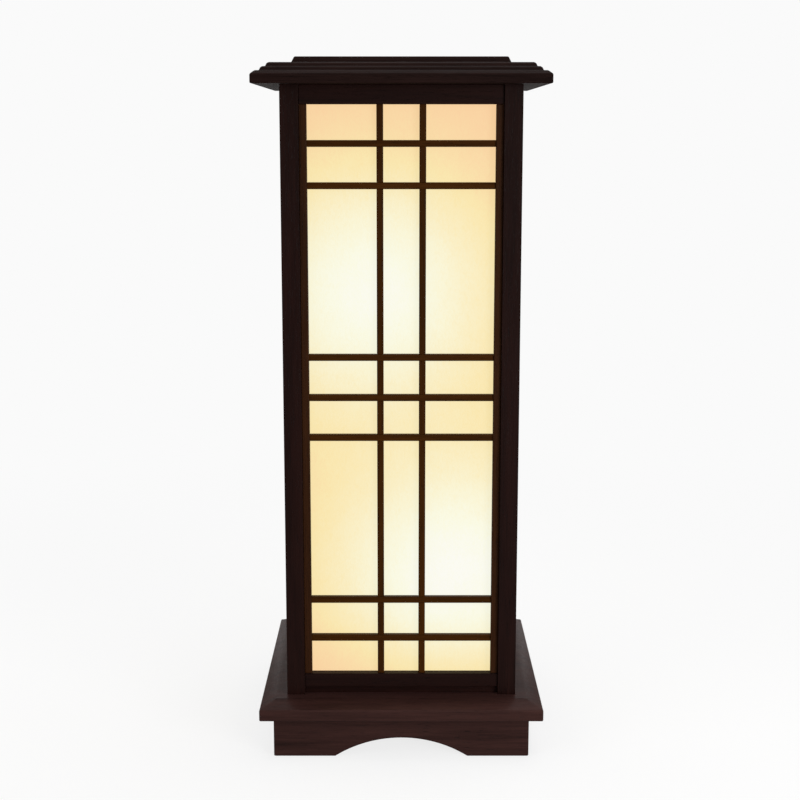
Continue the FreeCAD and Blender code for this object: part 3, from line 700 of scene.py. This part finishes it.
def make_bulb_caps(nickel, insulator):
    """Screw caps with a round thread, on a dark insulator at the bottom."""
    for lamp in LAMPS:
        node = f"{lamp}_bulb_cap"
        low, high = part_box(node)
        radius = half_width(node)
        bore = radius - CAP_WALL
        skirt = low.z + INSULATOR_HEIGHT
        shoulder = skirt + SHOULDER_LIFT
        outline = [(0, low.z), (radius * INSULATOR_TIP_SHARE, low.z), (radius * INSULATOR_TOP_SHARE, skirt),
                   (radius * SHOULDER_SHARE, skirt),
                   *thread_rows(shoulder, high.z - THREAD_END, radius, CAP_PITCH, CAP_THREAD_DEPTH),
                   (radius, high.z - COLLAR), (radius, high.z),
                   (bore, high.z), (bore, shoulder), (0, shoulder)]
        solid = bmesh.new()
        lathe(solid, outline, middle_of(low, high), segments=64)
        for face in solid.faces:
            if face.calc_center_median().z < skirt - HAIR:
                face.material_index = 1
        piece = new_piece(f"{lamp}_threaded_cap", solid, [nickel, insulator], node)
        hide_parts(node)


def make_terminal_screws(zinc):
    """A screw at the bottom of each well in the terminal block."""
    low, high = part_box("terminal_block")
    well_top = low.z + TERMINAL_WELL_DEPTH
    face_z = low.z + TERMINAL_WELL_DEPTH / 2
    reach = TERMINAL_WELL_RADIUS - TERMINAL_PLAY
    spacing = (high.x - low.x) / len(TERMINAL_POLES)
    solid = bmesh.new()
    for pole in TERMINAL_POLES:
        spot = middle_of(low, high) + Vector((pole * spacing, 0, 0))
        outline = [(reach * TERMINAL_FACE_SHARE, face_z), (reach, face_z + TERMINAL_CHAMFER),
                   (reach, well_top), (0, well_top)]
        rings = lathe(solid, outline, spot, segments=24, closed=False)
        recess(solid, rings[0], spot, face_z, reach)
    new_piece("terminal_screws", solid, [zinc], "terminal_block")


def dress_hardware():
    """Pipes, nuts, holders, bulbs, wiring and screws."""
    metals = {name: metal(name, *look) for name, look in METALS.items()}
    plastics = {name: moulded(name, *look) for name, look in PLASTICS.items()}
    dress(names("{}_bulb_globe", LAMPS), opal())
    dress(names("{}_holder_contacts", LAMPS) + names("{}_bulb_contact", LAMPS), metals["brass"])
    dress(names("{}_holder_foot", LAMPS), plastics["black_plastic"])
    dress(["terminal_block"], plastics["white_plastic"])
    dress(["internal_wires"], plastics["wire_sheath"])
    dress(["lead_grommet"], plastics["rubber"])
    ease(names("{}_holder_foot", LAMPS) + ["terminal_block", "lead_grommet"], width=0.0006, clamp=False)
    ease(names("{}_bulb_contact", LAMPS), width=0.0009)
    make_screws(metals["screw_steel"])
    make_nuts(metals["zinc_steel"])
    make_pipes(metals["zinc_steel"])
    make_holder_shells(plastics["black_plastic"])
    make_bulb_caps(metals["cap_metal"], plastics["black_plastic"])
    make_terminal_screws(metals["zinc_steel"])


def floor_white():
    """A pale matt floor near the lamp, which fades into the surround's white further out."""
    shading = Shading("floor_white")
    path = shading.add("ShaderNodeLightPath")
    seen = 0.0
    for ray in SEEN_RAYS:
        seen = shading.math("MAXIMUM", path.outputs[ray], seen)

    def glow(strength):
        item = shading.add("ShaderNodeEmission")
        item.inputs["Color"].default_value = WHITE
        shading.feed(item.inputs["Strength"], shading.math("MULTIPLY", seen, strength))
        return item.outputs[0]

    matte = shading.add("ShaderNodeBsdfDiffuse")
    matte.inputs["Color"].default_value = FLOOR_GREY
    near = shading.add("ShaderNodeAddShader")
    shading.feed(near.inputs[0], matte.outputs[0])
    shading.feed(near.inputs[1], glow(FLOOR_GLOW))
    mixed = shading.add("ShaderNodeMixShader")
    shading.feed(mixed.inputs[0], shading.remap(shading.distance((0, 0, 0)), FLOOR_FADE, (0.0, 1.0)))
    shading.feed(mixed.inputs[1], near.outputs[0])
    shading.feed(mixed.inputs[2], glow(BACKGROUND))
    shading.surface(mixed.outputs[0])
    return shading.material


def lay_floor():
    bpy.ops.mesh.primitive_circle_add(vertices=96, radius=FLOOR_RADIUS, fill_type="NGON", location=(0, 0, 0))
    floor = bpy.context.object
    floor.name = "floor"
    floor.data.materials.append(floor_white())


def hang_lights():
    """A low key from the right, a fill from the left and a soft light from above."""
    for name, (place, side, power) in LIGHTS.items():
        lamp = bpy.data.lights.new(name, "AREA")
        lamp.size = side
        lamp.energy = power
        item = bpy.data.objects.new(name, lamp)
        item.location = place
        aim = Vector(LIGHT_AIM) - item.location
        item.rotation_euler = aim.to_track_quat("-Z", "Y").to_euler()
        item.visible_camera = False
        bpy.context.scene.collection.objects.link(item)


def surround():
    """White where it is seen or mirrored, and an even light for matt surfaces."""
    world = bpy.data.worlds.new("surround")
    bpy.context.scene.world = world
    world.use_nodes = True
    tree = world.node_tree
    tree.nodes.clear()

    def level(strength):
        item = tree.nodes.new("ShaderNodeBackground")
        item.inputs["Color"].default_value = WHITE
        item.inputs["Strength"].default_value = strength
        return item.outputs[0]

    path = tree.nodes.new("ShaderNodeLightPath")
    shown = level(AMBIENT)
    white = level(BACKGROUND)
    for ray in SEEN_RAYS:
        mixed = tree.nodes.new("ShaderNodeMixShader")
        tree.links.new(path.outputs[ray], mixed.inputs[0])
        tree.links.new(shown, mixed.inputs[1])
        tree.links.new(white, mixed.inputs[2])
        shown = mixed.outputs[0]
    output = tree.nodes.new("ShaderNodeOutputWorld")
    tree.links.new(shown, output.inputs["Surface"])


def place_camera():
    """The photograph's view: from just below the lid's height, looking slightly down."""
    lens = bpy.data.cameras.new("camera")
    lens.sensor_width = CAMERA_SENSOR
    lens.lens = CAMERA_LENS
    camera = bpy.data.objects.new("camera", lens)
    camera.location = CAMERA_PLACE
    camera.rotation_euler = (math.radians(90 - CAMERA_DIP), 0, 0)
    bpy.context.scene.collection.objects.link(camera)
    bpy.context.scene.camera = camera


dress_wood()
dress_inner_wood()
dress(names("paper_panel_{}", SIDES), paper())
dress_hardware()
lay_floor()
surround()
hang_lights()
place_camera()
bpy.context.scene.view_settings.view_transform = "Standard"
